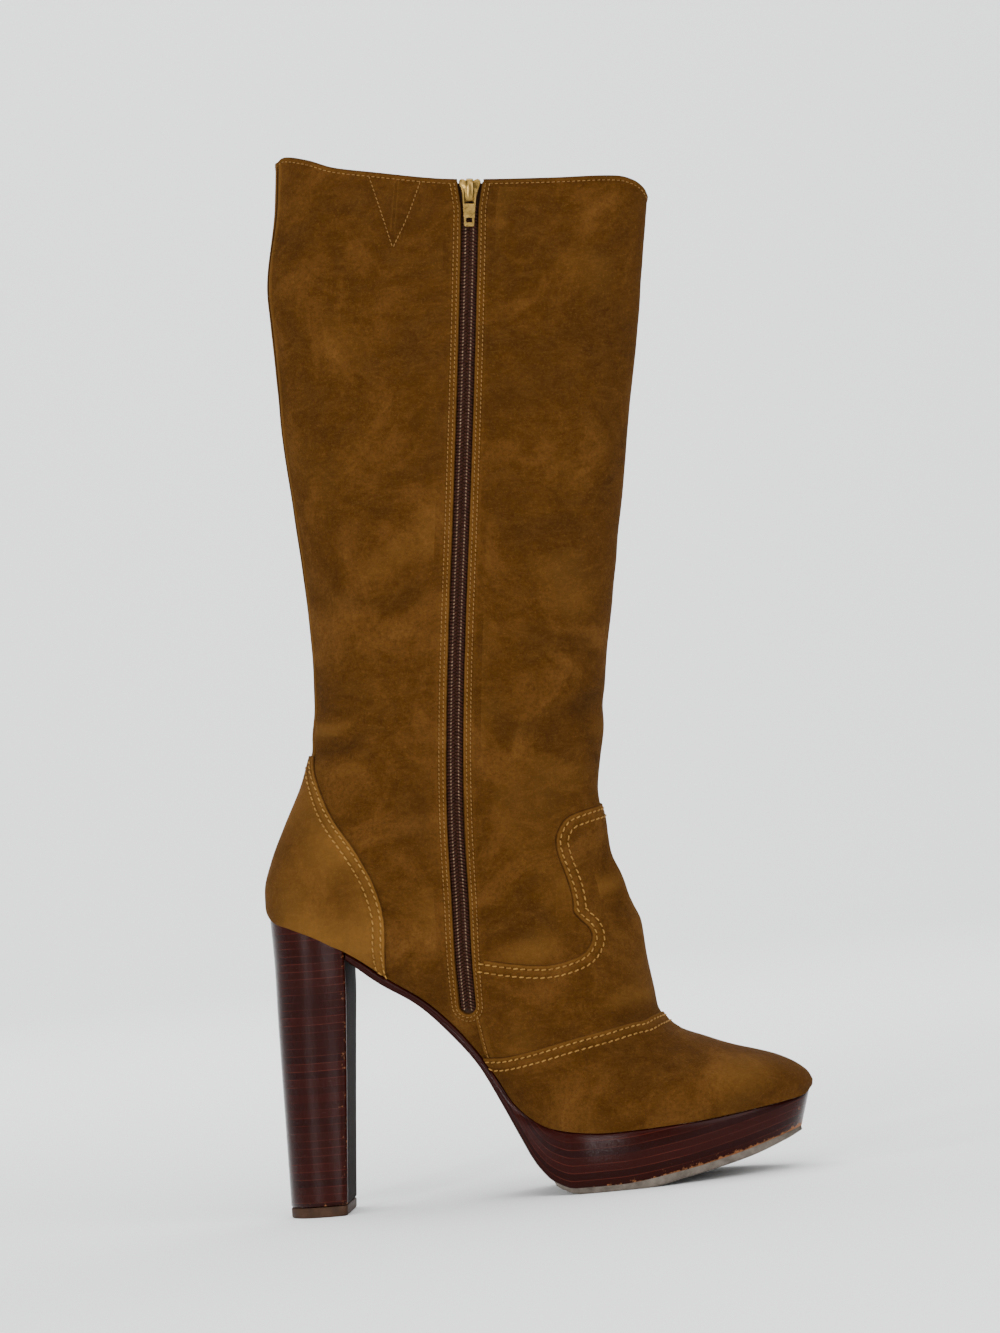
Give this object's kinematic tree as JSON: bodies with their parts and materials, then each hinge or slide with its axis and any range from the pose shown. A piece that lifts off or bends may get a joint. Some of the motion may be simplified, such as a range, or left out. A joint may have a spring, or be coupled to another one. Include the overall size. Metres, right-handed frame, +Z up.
{
  "type": "knee-high boot",
  "caption": "Left knee-high platform boot in tan suede with a full-length inner zip, stacked block heel and platform sole.",
  "frame": {"origin": "middle of the boot's plan box, on the floor", "axes": "+X to the toe, +Y to the outer side of the left foot, +Z up"},
  "size_m": [0.229, 0.0908, 0.4522],
  "materials": {
    "suede": "matt napped suede",
    "stacked": "stacked leather layers, lacquered",
    "insole": "smooth",
    "outsole": "matt",
    "top_lift": "matt",
    "zip": "woven tape and nylon coil",
    "brass": "satin"
  },
  "bodies": {
    "boot": {"upper": "suede", "heel_counter": "suede", "insole": "insole", "platform": "stacked", "outsole": "outsole", "heel": "stacked", "top_lift": "top_lift", "zip": "zip", "zip_slider": "brass"},
    "pull": {"zip_pull": "brass"}
  },
  "joints": [
    {"name": "zip_pull_hinge", "type": "hinge", "parent": "boot", "child": "pull", "pos_m": [0.0112, -0.0305, 0.42846], "axis": [-0.9935, -0.0011, 0.1141], "range_deg": [0, 165]}
  ]
}
